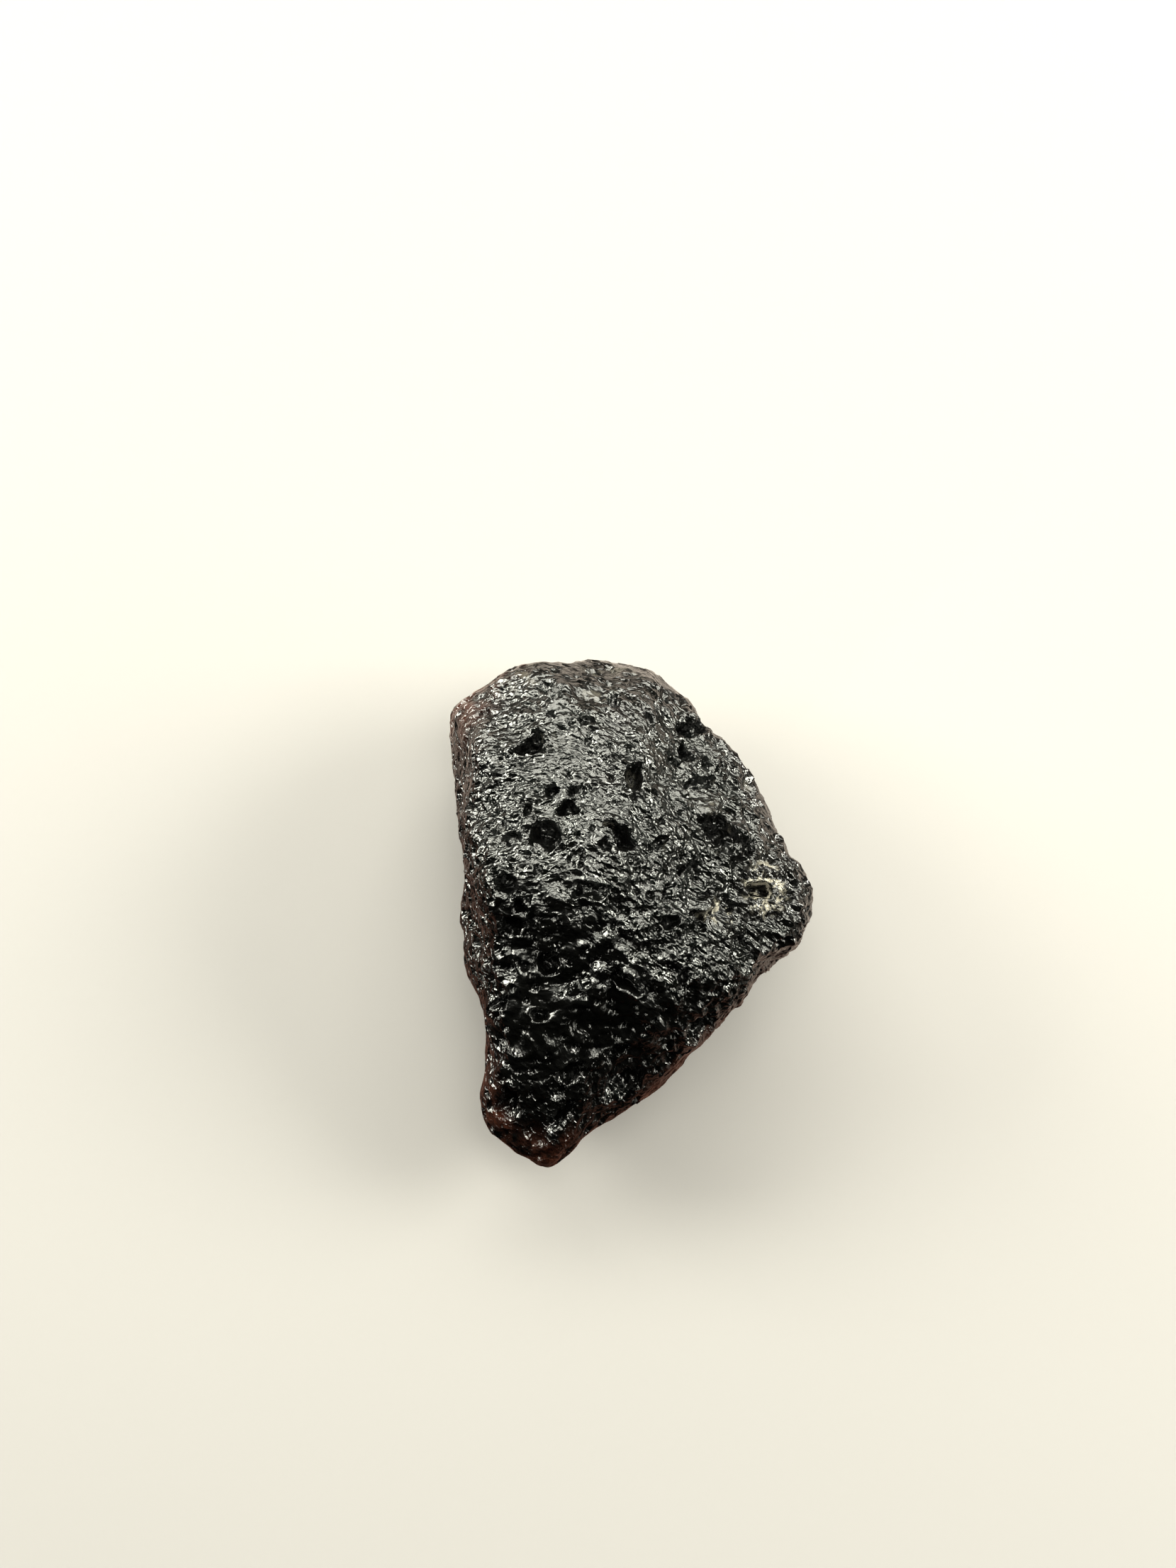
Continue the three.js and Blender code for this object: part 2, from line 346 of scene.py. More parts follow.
@dataclass(frozen=True)
class PlainBody:
    """The stone's plain body: flats that meet in soft edges, drawn to the widest outline.

    Attributes:
        middle_height: middle of the stone above its resting spot, in mm.
        edge_sharpness: higher meets the flats in tighter edges.
        full_correction: share of the outline's shape kept at the top and bottom.
        fade_angle: degrees above or below the widest place that the shape fades over.
        fade_rate: how quickly it fades.
    """

    middle_height: float = 3.3
    edge_sharpness: float = 18.0
    full_correction: float = 0.35
    fade_angle: float = 55.0
    fade_rate: float = 2.5

    def waves(self, points: Array) -> Array:
        """Height of the slow waves: each is its height times the sine of its travel."""
        total = np.zeros(len(points))
        for wave in WAVES:
            travel = points @ np.array(wave.along)
            total += wave.height * np.sin(TURN * wave.per_mm * travel + wave.start)
        return total

    def reach(self, directions: Array) -> Array:
        """Distance from the middle to the skin in each direction.

        The direction's share of each flat's distance is raised to the edge sharpness
        and added, and the sum's negative root is the reach. The slow waves are added.

        Args:
            directions: unit vectors, one row each.

        Returns:
            One distance in mm per direction.
        """
        normals = np.array([flat.normal() for flat in FLATS])
        distances = np.array([flat.distance() for flat in FLATS])
        share = np.maximum(directions @ normals.T, 0.0) / distances
        plain = np.sum(share**self.edge_sharpness, axis=1) ** (-1.0 / self.edge_sharpness)
        return plain + self.waves(directions * plain[:, None])

    def outline(self) -> tuple[Array, Array]:
        """Angle and distance along the smooth closed curve through the outline's points."""
        corners = np.array(OUTLINE)[:, None, :]
        t = np.linspace(0.0, 1.0, 16, endpoint=False)[None, :, None]
        before, start, end, after = (np.roll(corners, k, axis=0) for k in (1, 0, -1, -2))
        curve = 0.5 * (
            2 * start
            + (end - before) * t
            + (2 * before - 5 * start + 4 * end - after) * t**2
            + (3 * start - before - 3 * end + after) * t**3
        )
        x, y = curve.reshape(-1, 2).T
        angle = np.arctan2(y, x)
        order = np.argsort(angle)
        return angle[order], np.hypot(x, y)[order]

    def widest(self) -> tuple[Array, Array, Array]:
        """How far the flats reach sideways at each angle, and the slope where they do."""
        around = np.radians(np.arange(-180.0, 180.0, 1.0))
        above = np.radians(np.arange(-60.0, 60.1, 1.5))
        a, e = np.meshgrid(around, above, indexing="ij")
        directions = np.stack([np.cos(e) * np.cos(a), np.cos(e) * np.sin(a), np.sin(e)], axis=-1)
        sideways = self.reach(directions.reshape(-1, 3)).reshape(a.shape) * np.cos(e)
        return around, sideways.max(axis=1), above[sideways.argmax(axis=1)]

    def points(self, directions: Array) -> Array:
        """Points of the plain body, from its middle.

        Each point is moved sideways by the wanted outline over the reached outline.
        The move fades above and below the widest place as exp(-rate x offset squared).

        Args:
            directions: unit vectors, one row each.

        Returns:
            One point in mm per direction.
        """
        around = np.arctan2(directions[:, 1], directions[:, 0])
        above = np.arcsin(np.clip(directions[:, 2], -1.0, 1.0))
        grid, reached, slope = self.widest()
        ratio = np.interp(around, *self.outline(), period=TURN)
        ratio /= np.interp(around, grid, reached, period=TURN)
        offset = above - np.interp(around, grid, slope, period=TURN)
        offset /= math.radians(self.fade_angle)
        keep = between((self.full_correction, 1.0), np.exp(-self.fade_rate * offset**2))
        points = directions * self.reach(directions)[:, None]
        points[:, :2] *= (1.0 + (ratio - 1.0) * keep)[:, None]
        return points


# ---- marks in the skin


def bowl(distance: Array, lip: Array) -> Array:
    """A steep bowl one deep: (1 - (distance / 1.1)^2)^0.9, less a low raised lip at 1.2."""
    inside = np.maximum(1.0 - (distance / 1.1) ** 2, 0.0)
    return inside**0.9 - lip * np.exp(-(((distance - 1.2) / 0.2) ** 2))


@dataclass(frozen=True)
class LargeMarks:
    """The hollows, folds and scoops that are large enough to feel with a nail.

    Attributes:
        scoop_count: number of shallow scoops over the whole skin.
        scoop_radius: smallest and largest radius in mm.
        scoop_depth: smallest and largest depth in mm.
        scoop_level: skin between the scoops, above the plain body, in mm.
        lip: raised lip of a hollow, as a share of its depth.
    """

    scoop_count: int = 230
    scoop_radius: Pair = (0.34, 0.66)
    scoop_depth: Pair = (0.06, 0.17)
    scoop_level: float = 0.05
    lip: float = 0.07

    def hollows(self, points: Array) -> Array:
        """Depth of the hollows: each is a bowl over an oval in plan with a wavy edge.

        The lip comes and goes round the edge, between none and twice its usual height.
        """
        depth = np.zeros(len(points))
        lip = self.lip * (1.0 + np.clip(2.0 * soft_noise(points * 3.1, Seed.LIP), -1.0, 1.0))
        points = drift(points, 2.2, 0.13, Seed.EDGE_BEND)
        points = drift(points, 6.0, 0.08, Seed.FINE_EDGE_BEND)
        for hollow in HOLLOWS:
            along, across = turned(points[:, :2] - (hollow.x, hollow.y), hollow.turn)
            oval = np.hypot(along / hollow.half_length, across / hollow.half_width)
            depth += hollow.depth * bowl(oval, lip)
        return depth

    def folds(self, points: Array) -> Array:
        """Height of the folds: exp(-(distance to the path / half width)^2) each."""
        height = np.zeros(len(points))
        plan = points[:, :2]
        for fold in FOLDS:
            nearest = np.full(len(points), np.inf)
            for start, end in zip(np.array(fold.path[:-1]), np.array(fold.path[1:])):
                run = end - start
                share = np.clip((plan - start) @ run / (run @ run), 0.0, 1.0)
                away = np.linalg.norm(plan - start - share[:, None] * run, axis=1)
                nearest = np.minimum(nearest, away)
            height += fold.height * np.exp(-((nearest / fold.half_width) ** 2))
        return height

    def scoops(self, body: PlainBody, points: Array) -> Array:
        """Depth of the scoops: 1 - (distance / radius)^2 inside each, the deepest kept.

        Their middles wind down a ball at golden turns, each moved a little at random.

        Args:
            body: the plain body that the scoops' middles lie on.
            points: places in mm.

        Returns:
            One depth in mm per point.
        """
        index = np.arange(self.scoop_count)

        def chance(shift: int) -> Array:
            """The fractional part of a large sine, one number from 0 to 1 per scoop."""
            value = np.sin((index + shift) * 12.9898) * 43758.5453
            return value - np.floor(value)

        rise = 1.0 - 2.0 * (index + 0.5) / self.scoop_count + 0.05 * (chance(0) - 0.5)
        z = np.clip(rise, -0.999, 0.999)
        around = index * GOLDEN_TURN + 0.6 * (chance(500) - 0.5)
        flat = np.sqrt(1.0 - z * z)
        ball = np.stack([flat * np.cos(around), flat * np.sin(around), z], axis=-1)
        middles = body.points(ball)
        radii = between(self.scoop_radius, chance(1000))
        depths = between(self.scoop_depth, chance(1500))
        depth = np.zeros(len(points))
        for middle, radius, deep in zip(middles, radii, depths):
            share = np.linalg.norm(points - middle, axis=1) / radius
            depth = np.maximum(depth, deep * (1.0 - share * share))
        return depth


@dataclass(frozen=True)
class Ease:
    """A share that eases from 0 to 1 with the distance x * X + y * Y in plan.

    Attributes:
        x: weight of X in the distance.
        y: weight of Y.
        middle: the distance in mm where the share is a half.
        rate: how quickly it rises.
    """

    x: float
    y: float
    middle: float
    rate: float

    def at(self, points: Array) -> Array:
        """The share at each point: 1 / (1 + exp(rate x (middle - distance)))."""
        distance = self.x * points[:, 0] + self.y * points[:, 1]
        return 1.0 / (1.0 + np.exp(self.rate * (self.middle - distance)))


STEEP_FLOW = Ease(0.0, -1.0, 2.6, 1.8)
LEVEL_FLOW = Ease(-1.0, 0.0, 1.3, 1.5)
KNOBS_LEFT = Ease(-1.0, -0.3, -0.6, 2.0)
KNOBS_LOW = Ease(-0.15, -1.0, -0.2, 1.8)
LOWER_HALF = Ease(-0.15, -1.0, -0.8, 1.8)
RIGHT_FLANK = Ease(1.0, 0.0, 1.8, 2.0)
LOW_LEFT_CORNER = Ease(-0.9, -1.0, 1.6, 1.4)
TIP = Ease(0.0, -1.0, 5.3, 4.0)
ABOVE_TIP = Ease(0.0, 1.0, -4.3, 3.0)
OFF_LEFT_EDGE = Ease(1.0, 0.0, -3.2, 5.0)
BLUNT_END = Ease(0.0, 1.0, 4.6, 4.0)
RIGHT_SIDE = Ease(1.0, 0.0, -0.5, 2.0)


class Flow(Enum):
    """The ways the glass once flowed: turn in plan in degrees from +X."""

    LEVEL = 4.0
    DOWN_RIGHT = -36.0
    STEEP = -64.0


def flow_shares(points: Array) -> dict[Flow, Array]:
    """How much of each flow a point has: steep at the tip, level on the left.

    Args:
        points: places in mm.

    Returns:
        A share from 0 to 1 per point for each flow, which add up to 1.
    """
    steep = STEEP_FLOW.at(points)
    level = (1.0 - steep) * LEVEL_FLOW.at(points)
    return {Flow.STEEP: steep, Flow.LEVEL: level, Flow.DOWN_RIGHT: 1.0 - steep - level}


@dataclass(frozen=True)
class Pits:
    """Round pits, at most one in each cube of a grid.

    Attributes:
        spacing: distance between the pits in mm.
        radii: smallest and largest radius in mm.
        steepness: depth of a pit over its radius.
        seed: picks the pattern.
    """

    spacing: float
    radii: Pair
    steepness: float
    seed: Seed

    def depth(self, points: Array) -> Array:
        """Depth in mm: steepness x radius x (1 - (distance / radius)^2)^0.9 in each pit."""
        bent = drift(points, 3.0 / self.spacing, 0.13 * self.spacing, self.seed + 10)
        distance, own = nearest_seed(bent / self.spacing + 0.37 * self.seed, self.seed)
        radius = between(self.radii, own**1.5)
        inside = np.clip(1.0 - (distance * self.spacing / radius) ** 2, 0.0, 1.0)
        return self.steepness * radius * inside**0.9


@dataclass(frozen=True)
class FineSkin:
    """The bubble pits, pin pits, scallops, knobs, lumps and flow ridges of the glass skin.

    Attributes:
        bubbles: the larger round pits.
        pins: the smallest round pits.
        wide_scallops: spacing and depth of the wide scallops in mm.
        small_scallops: spacing and depth of the small ones.
        knobs: spacing and height of the round knobs in mm.
        ridge_height: height of the flow ridges in mm.
        lump_height: height of the lumps in mm.
        least: share of the scallops, ridges and lumps that the calm top face keeps.
        stretch: length of a scallop along the flow over its width.
    """

    bubbles: Pits = Pits(0.72, (0.08, 0.22), 1.8, Seed.BUBBLES)
    pins: Pits = Pits(0.27, (0.05, 0.125), 1.7, Seed.PINS)
    wide_scallops: Pair = (0.50, 0.28)
    small_scallops: Pair = (0.25, 0.13)
    knobs: Pair = (0.38, 0.40)
    ridge_height: float = 0.10
    lump_height: float = 0.15
    least: float = 0.33
    stretch: float = 1.5

    def scallops(self, drawn: Array, spacing: float, depth: float) -> Array:
        """Height of scallops that touch: depth x the squared distance to the nearest middle."""
        bent = drift(drawn / spacing, 0.9, 0.30, Seed.SCALLOP_BEND)
        distance, own = nearest_seed(bent, Seed.SCALLOPS)
        return depth * (0.5 + own) * (distance**2 - 0.3)

    def knob_height(self, points: Array) -> Array:
        """Height of round knobs that touch: height x (0.45 - squared distance to the middle)."""
        spacing, height = self.knobs
        bent = drift(points / spacing, 0.9, 0.25, Seed.KNOB_BEND)
        distance, own = nearest_seed(bent, Seed.KNOBS)
        return height * (0.7 + 0.6 * own) * (0.45 - distance**2)

    def low_left(self, points: Array) -> Array:
        """Share of the lower left half, where round knobs take the small scallops' place."""
        return KNOBS_LEFT.at(points) * KNOBS_LOW.at(points)

    def knobbly(self, points: Array, square: Array) -> Array:
        """Share of the scallops, crests and lumps: most low down, calm on the top face.

        The larger of the lower half's share and the right flank's is taken. Three fifths
        of it go towards the lower left corner and half towards the tip, and the sides
        keep under a third.
        """
        most = np.maximum(0.84 * LOWER_HALF.at(points), 0.6 * RIGHT_FLANK.at(points))
        share = between((self.least, 1.0), most)
        share *= 1.0 - 0.60 * LOW_LEFT_CORNER.at(points)
        share *= 1.0 - 0.50 * TIP.at(points)
        return share * (0.30 + 0.70 * np.clip(square[:, 2] / 0.5, 0.0, 1.0))

    def rise(self, points: Array, square: Array) -> Array:
        """Height of the marks between the pits; the drawn-out ones follow the flow.

        The small scallops keep the square root of the knobbly share, the rest the share.
        On the lower left half the knobs stand in for most of them.
        """
        total = np.zeros(len(points))
        knobbly, low_left = self.knobbly(points, square), self.low_left(points)
        wide_share = knobbly * (1.0 - 0.4 * low_left)
        small_share = (1.0 - low_left) * np.sqrt(knobbly)
        z = points[:, 2]
        for flow, share in flow_shares(points).items():
            along, across = turned(points, flow.value)
            drawn = np.stack([along / self.stretch, across, z], axis=-1)
            lines = np.stack([along * 1.4, across * 4.2, z * 3.2], axis=-1)
            bent = drift(lines, 0.55, 0.55, Seed.LINE_BEND)
            crests = two_layers(crest_noise, bent, 2.1, 9.1, Seed.CRESTS) - 0.5
            wide = self.scallops(drawn, *self.wide_scallops) + self.ridge_height * crests
            small = self.scallops(drawn, *self.small_scallops)
            total += share * (wide_share * wide + small_share * small)
        lumps = self.lump_height * two_layers(soft_noise, points * 2.5, 2.03, 17.3, Seed.LUMPS)
        knobs = low_left * self.knob_height(points)
        return total + knobbly * ((1.0 - 0.6 * low_left) * lumps + knobs)


# ---- the stone's mesh


@dataclass(frozen=True)
class CubeGrid:
    """Six square grids blown up to a closed ball, their shared edges merged.

    A cell's two parameters run from -1 to 1 over its cube face. The tangent of each,
    times an eighth of a turn, evens out the cells, and the ball is then moved up by
    `lift` of its radius so that the cells are finer on the upper side.

    Attributes:
        cells: cells along each edge of the cube.
        lift: share of the radius that the ball is moved up.
    """

    cells: int = 128
    lift: float = 0.38

    def directions(self) -> tuple[Array, Array]:
        """Unit directions of the grid's corners, and the triangles that join them."""
        steps = np.arange(-self.cells, self.cells + 1, 2)
        a, b = np.meshgrid(steps, steps, indexing="ij")
        w = np.full_like(a, self.cells)
        faces = ((w, a, b), (-w, b, a), (b, w, a), (a, -w, b), (a, b, w), (b, a, -w))
        corners = np.concatenate([np.stack(face, axis=-1).reshape(-1, 3) for face in faces])
        merged, place = np.unique(corners, axis=0, return_inverse=True)
        place = place.reshape(6, self.cells + 1, self.cells + 1)
        near, right = place[:, :-1, :-1].ravel(), place[:, 1:, :-1].ravel()
        far, left = place[:, 1:, 1:].ravel(), place[:, :-1, 1:].ravel()
        halves = ((near, right, far), (near, far, left))
        triangles = np.concatenate([np.stack(half, axis=-1) for half in halves])
        ball = unit(np.tan(merged / self.cells * math.pi / 4.0))
        ball[:, 2] += self.lift
        return unit(ball), triangles


def corner_normals(points: Array, triangles: Array) -> Array:
    """Unit normals of a mesh at its corners: its triangles' cross products, added up.

    Args:
        points: corners, one row each.
        triangles: three corner numbers per row, counterclockwise from outside.

    Returns:
        One unit vector per corner.
    """
    first, second, third = (points[triangles[:, k]] for k in range(3))
    corners = triangles.ravel()
    weights = np.repeat(np.cross(second - first, third - first), 3, axis=0).T
    total = np.stack([np.bincount(corners, axis, len(points)) for axis in weights], axis=-1)
    return unit(total)


def show(name: str, data: bpy.types.ID) -> Object:
    """A new object of the scene for a mesh, a light or a camera."""
    shown = bpy.data.objects.new(name, data)
    bpy.context.scene.collection.objects.link(shown)
    return shown


@dataclass(frozen=True)
class Stone:
    """The tektite: plain body, large marks and fine skin in one closed mesh.

    Attributes:
        body: flats, outline and waves.
        marks: hollows, folds and scoops.
        skin: fine marks.
        grid: the mesh that they shape.
        hollow_dip: how far a hollow leans from the normal towards straight down.
        deep: depth in mm from which a pit is fully calm.
    """

    body: PlainBody = PlainBody()
    marks: LargeMarks = LargeMarks()
    skin: FineSkin = FineSkin()
    grid: CubeGrid = CubeGrid()
    hollow_dip: float = 0.8
    deep: float = 0.12

    def surface(self, directions: Array, triangles: Array) -> tuple[Array, Array]:
        """Points of the finished skin in mm, above the resting surface.

        A plain point is moved along the plain body's normal by the marks and the pits,
        and more steeply down by the hollows. Folds and hollows are on the upper side
        alone. A point that then lies under the resting surface is drawn back to it.

        Args:
            directions: unit vectors from the middle of the stone.
            triangles: three point numbers per row.

        Returns:
            One point per direction, and how calm the skin is there, from 0 to 1.
        """
        plain = self.body.points(directions)
        square = corner_normals(plain, triangles)
        upper = np.clip((square[:, 2] - 0.05) / 0.25, 0.0, 1.0)
        rise = self.marks.scoop_level - self.marks.scoops(self.body, plain)
        rise = rise + upper * self.marks.folds(plain) + self.skin.rise(plain, square)
        hollows = upper * self.marks.hollows(plain)
        pits = self.skin.bubbles.depth(plain) + self.skin.pins.depth(plain)
        steep = unit(square + (0.0, 0.0, self.hollow_dip))
        points = plain + square * (rise - pits)[:, None] - steep * hollows[:, None]
        floor = -self.body.middle_height
        sunk = points[:, 2] < floor
        points[sunk] *= (floor / points[sunk, 2])[:, None]
        points[:, 2] -= floor
        return points, self.calm(plain, square, hollows + pits)

    def calm(self, plain: Array, square: Array, depth: Array) -> Array:
        """Share of the fine bump that is left out: the largest of four.

        They are the pits' depths, the blunt end, the knobs of the lower left half short
        of the tip and the left edge, and the steep rim on the right.

        Args:
            plain: points of the plain body in mm.
            square: its unit normal at each.
            depth: depth of the hollows and pits there in mm.

        Returns:
            One share from 0 to 1 per point.
        """
        pits = 0.45 * np.clip(depth / self.deep, 0.0, 1.0)
        end = 0.35 * BLUNT_END.at(plain)
        knobs = (0.48 + 0.14 * LOW_LEFT_CORNER.at(plain)) * self.skin.low_left(plain) ** 2
        knobs *= ABOVE_TIP.at(plain) * OFF_LEFT_EDGE.at(plain)
        rim = 0.55 * np.clip((0.65 - square[:, 2]) / 0.3, 0.0, 1.0) * RIGHT_SIDE.at(plain)
        return np.maximum.reduce([pits, end, knobs, rim])

    def build(self, material: Material) -> Object:
        """Makes the stone's object, which stands for the CAD solid.

        Args:
            material: its finish.

        Returns:
            The object, in place.
        """
        directions, triangles = self.grid.directions()
        points, calm = self.surface(directions, triangles)
        mesh = bpy.data.meshes.new("tektite_skin")
        mesh.from_pydata((points * MM).tolist(), [], triangles.tolist(), shade_flat=False)
        shares = mesh.attributes.new("calm", "FLOAT", "POINT")
        shares.data.foreach_set("value", calm.astype(np.float32))
        mesh.materials.append(material)
        stone = show("tektite_skin", mesh)
        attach(stone, "root")
        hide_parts("tektite")
        return stone


# ---- finishes

MIX_SOCKETS = {"FLOAT": (2, 0), "VECTOR": (4, 1), "RGBA": (6, 2)}


class Nodes:
    """Adds and joins the nodes of one node tree."""

    def __init__(self, tree: NodeTree) -> None:
        """Keeps the tree that the nodes go into."""
        self.tree = tree

    def fill(self, node: Node, values: Values) -> None:
        """Links a socket or sets a plain value to each named or numbered input of a node."""
        for name, value in values.items():
            if isinstance(value, Socket):
                self.tree.links.new(value, node.inputs[name])
            else:
                node.inputs[name].default_value = value

    def add(self, kind: str, values: Values | None = None, **settings: object) -> Node:
        """Adds a shader node.

        Args:
            kind: the node's type name after the words ShaderNode.
            values: a socket or plain value for each of its inputs, by name or number.
            settings: its own settings.

        Returns:
            The node.
        """
        node = self.tree.nodes.new("ShaderNode" + kind)
        for name, value in settings.items():
            setattr(node, name, value)
        self.fill(node, values or {})
        return node

    def math(self, operation: str, first: object, second: object) -> Socket:
        """A sum, product or other simple step of two sockets or numbers."""
        return self.add("Math", {0: first, 1: second}, operation=operation).outputs[0]

    def vector(self, operation: str, first: object, second: object, result: int = 0) -> Socket:
        """A simple step of two vectors, whose result is a vector (0) or a number (1)."""
        node = self.add("VectorMath", {0: first, 1: second}, operation=operation)
        return node.outputs[result]

    def ramp(self, value: Socket, low: float, high: float) -> Socket:
        """A smooth step that is 0 below `low` and 1 above `high`."""
        ends = {"Value": value, "From Min": low, "From Max": high}
        return self.add("MapRange", ends, interpolation_type="SMOOTHSTEP").outputs["Result"]

    def mix(self, share: Socket, first: object, second: object, kind: str = "FLOAT") -> Socket:
        """A blend of two numbers, vectors or colours by a share."""
        start, result = MIX_SOCKETS[kind]
        values = {0: share, start: first, start + 1: second}
        return self.add("Mix", values, data_type=kind).outputs[result]

    def noise(self, place: Socket, sizes: Point, bend: float = 0.0, result: int = 0) -> Socket:
        """Noise of a scale, detail and roughness, as a number (result 0) or a vector (1)."""
        values = dict(zip(("Scale", "Detail", "Roughness"), sizes))
        node = self.add("TexNoise", {"Vector": place, "Distortion": bend, **values})
        return node.outputs[result]


def new_group(
    name: str, numbers: dict[str, float], results: tuple[str, ...]
) -> tuple[Nodes, dict[str, Socket], Node]:
    """Starts a shader node group that takes a place in mm and puts out numbers.

    Args:
        name: the group's name.
        numbers: usual value of each further input, by name.
        results: the outputs' names.

    Returns:
        Its node helper, the sockets that bring its inputs, and the node of its outputs.
    """
    group = bpy.data.node_groups.new(name, "ShaderNodeTree")
    new_socket = group.interface.new_socket
    new_socket("Place mm", in_out="INPUT", socket_type="NodeSocketVector")
    for label, value in numbers.items():
        socket = new_socket(label, in_out="INPUT", socket_type="NodeSocketFloat")
        socket.default_value = value
    for label in results:
        new_socket(label, in_out="OUTPUT", socket_type="NodeSocketFloat")
    given = dict(group.nodes.new("NodeGroupInput").outputs.items())
    return Nodes(group), given, group.nodes.new("NodeGroupOutput")


def flow_group() -> NodeTree:
    """Fine marks drawn out along the three flows: scale-like bowls that touch, and lines.

    A bowl's height is the squared distance to the nearest scattered middle.
    """
    nodes, given, out = new_group("flow marks", {"Along": 4.2, "Across": 6.4}, ("Bowls", "Lines"))
    place, along, across = given["Place mm"], given["Along"], given["Across"]
    scale = nodes.add("CombineXYZ", {0: along, 1: across, 2: across}).outputs[0]
    bowls, lines = {}, {}
    for flow in Flow:
        turn = (0.0, 0.0, -math.radians(flow.value))
        level = nodes.add("Mapping", {"Vector": place, "Rotation": turn}).outputs[0]
        drawn = nodes.vector("MULTIPLY", level, scale)
        bent = nodes.vector("ADD", drawn, nodes.noise(drawn, (1.1, 1.0, 0.5), result=1))
        values = {"Vector": bent, "Scale": 1.0, "Randomness": 1.0}
        distance = nodes.add("TexVoronoi", values, feature="F1").outputs["Distance"]
        bowls[flow] = nodes.math("MULTIPLY", distance, distance)
        lines[flow] = nodes.noise(drawn, (1.0, 1.5, 0.5), 0.4)
    axes = nodes.add("SeparateXYZ", {0: place}).outputs
    right = nodes.ramp(axes["X"], -2.4, -0.2)
    high = nodes.ramp(axes["Y"], -3.6, -1.6)
    for marks, label in ((bowls, "Bowls"), (lines, "Lines")):
        upper = nodes.mix(right, marks[Flow.LEVEL], marks[Flow.DOWN_RIGHT])
        nodes.fill(out, {label: nodes.mix(high, marks[Flow.STEEP], upper)})
    return nodes.tree


# Way towards each thin side, and how far along it the brown starts and is full, in mm: the
# upper left corner, the lower left edge, the lower right rim and the tip.
# The brown is partly thin glass and partly a painted reflection of warm surroundings.
THIN_AND_REFLECTING_SIDES = (
    ((-1.0, 0.8, 0.0), 6.9, 7.8),
    ((-1.0, -0.35, 0.0), 4.5, 5.1),
    ((1.0, -1.0, 0.0), 5.0, 5.7),
    ((0.0, -1.0, 0.0), 5.3, 6.6),
)


def thin_edge_and_reflection_group() -> NodeTree:
    """Brown patches along the thin sides: the thin glass's own colour and a painted warm
    reflection.
    """
    nodes, given, out = new_group("thin edges and painted reflection", {}, ("Mask",))
    place = given["Place mm"]
    sides = 0.0
    for towards, starts, full in THIN_AND_REFLECTING_SIDES:
        away = nodes.vector("DOT_PRODUCT", place, towards, 1)
        sides = nodes.math("MAXIMUM", sides, nodes.ramp(away, starts, full))
    patches = nodes.ramp(nodes.noise(place, (1.6, 3.0, 0.6)), 0.38, 0.62)
    nodes.fill(out, {"Mask": nodes.math("MULTIPLY", sides, patches)})
    return nodes.tree


# Middle of each dusty spot, and the distances from it where the dust thins and ends, in mm:
# the knob's pit, and the streak left of it.
DUST_SPOTS = (((3.35, 0.40, 4.9), 0.45, 0.85), ((2.18, -0.25, 5.6), 0.22, 0.60))


def dust_group() -> NodeTree:
    """Pale dust: round the knob's pit, in a streak, and a trace in pits of the upper half."""
    nodes, given, out = new_group("dust", {"Pit": 0.0}, ("Mask",))
    place = given["Place mm"]
    near = 0.0
    for middle, thins, ends in DUST_SPOTS:
        away = nodes.vector("DISTANCE", place, middle, 1)
        close = nodes.math("SUBTRACT", 1.0, nodes.ramp(away, thins, ends))
        near = nodes.math("MAXIMUM", near, close)
    speckle = nodes.ramp(nodes.noise(place, (3.0, 4.0, 0.7)), 0.50, 0.60)
    patches = nodes.ramp(nodes.noise(place, (1.1, 2.0, 0.5)), 0.52, 0.70)
    height = nodes.add("SeparateXYZ", {0: place}).outputs["Y"]
    upper = nodes.math("MULTIPLY", nodes.ramp(height, 0.5, 2.0), 0.35)
    trace = nodes.math("MULTIPLY", nodes.math("MULTIPLY", patches, given["Pit"]), upper)
    where = nodes.math("MAXIMUM", near, trace)
    nodes.fill(out, {"Mask": nodes.math("MULTIPLY", speckle, where)})
    return nodes.tree


def new_material(name: str) -> tuple[Material, Nodes]:
    """A new material, and the helper for its nodes."""
    material = bpy.data.materials.new(name)
    material.use_nodes = True
    return material, Nodes(material.node_tree)


